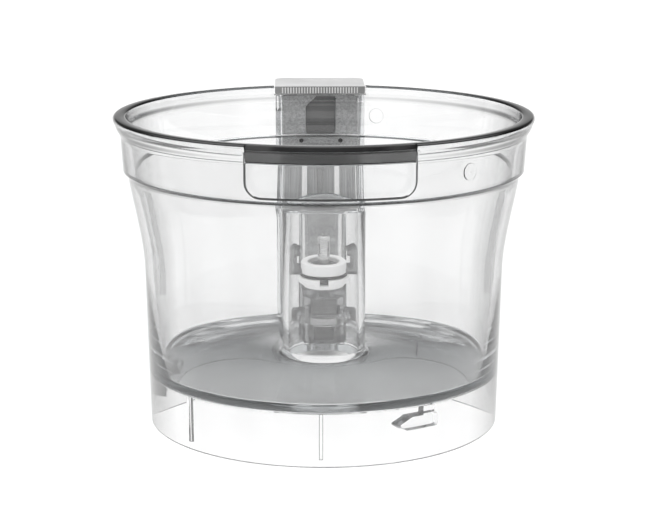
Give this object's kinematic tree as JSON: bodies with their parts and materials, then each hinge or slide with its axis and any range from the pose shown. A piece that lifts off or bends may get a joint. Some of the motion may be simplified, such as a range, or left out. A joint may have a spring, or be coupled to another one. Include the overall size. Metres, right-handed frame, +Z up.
{
  "type": "food processor work bowl",
  "caption": "Clear work bowl of a food processor with a centre drive tube, a turning drive coupling and a handle with a spring-loaded lid interlock.",
  "frame": {"origin": "under the middle of the whole outline, on the plane that the base ring stands on", "axes": "+Z up along the bowl's axis, +Y from the bowl towards its handle, +X to the right seen from the front"},
  "size_m": [0.18, 0.2361, 0.1342],
  "materials": {
    "clear": "clear polycarbonate, polished",
    "clear_grey": "clear polycarbonate with a grey cast, polished",
    "smoked": "smoked clear plastic, polished",
    "frosted": "frosted grey plastic, fine spark texture",
    "pale": "pale grey plastic, fine spark texture",
    "white": "white plastic, satin",
    "dark": "dark grey plastic, satin",
    "black": "black rubber",
    "core_grey": "mid-grey plastic, satin",
    "steel": "polished stainless steel",
    "spring_steel": "drawn spring wire"
  },
  "bodies": {
    "root": {"bowl_wall": "clear", "bowl_floor": "clear_grey", "centre_tube": "clear", "front_lock_strip": "smoked", "bush_hook_left": "smoked", "bush_hook_right": "smoked", "bearing_bush": "white", "shaft_seal": "black", "lock_housing": "clear", "lock_panel": "frosted", "retainer_bar": "frosted", "retainer_screw_left": "black", "retainer_screw_right": "black", "spring_seat": "dark", "handle_cap": "pale", "spine_channel": "clear", "rod_cover": "frosted", "clip_plate": "frosted", "guide_rail_left": "white", "guide_rail_right": "white", "clip_screw": "core_grey", "grip_screw_lower": "steel", "grip_screw_upper": "steel", "grip_body": "frosted", "grip_cover": "pale", "return_spring": "spring_steel"},
    "drive_rotor": {"drive_hub": "clear_grey", "hub_core": "core_grey", "core_washer": "white", "drive_socket": "dark", "dog_ring": "clear", "thrust_flange": "white", "retaining_ring": "white", "centre_pin": "steel"},
    "interlock": {"interlock_slider": "dark", "push_rod": "core_grey", "rod_foot": "dark"}
  },
  "joints": [
    {"name": "drive_spin", "type": "hinge", "parent": "root", "child": "drive_rotor", "pos_m": [0, -0.028, 0.05], "axis": [0, 0, 1], "continuous": true},
    {"name": "interlock_press", "type": "slide", "parent": "root", "child": "interlock", "axis": [0, 0, -1], "range_m": [0, 0.006], "stiffness_N_per_m": 300, "springref_m": -0.004, "deforming": ["return_spring"]}
  ]
}
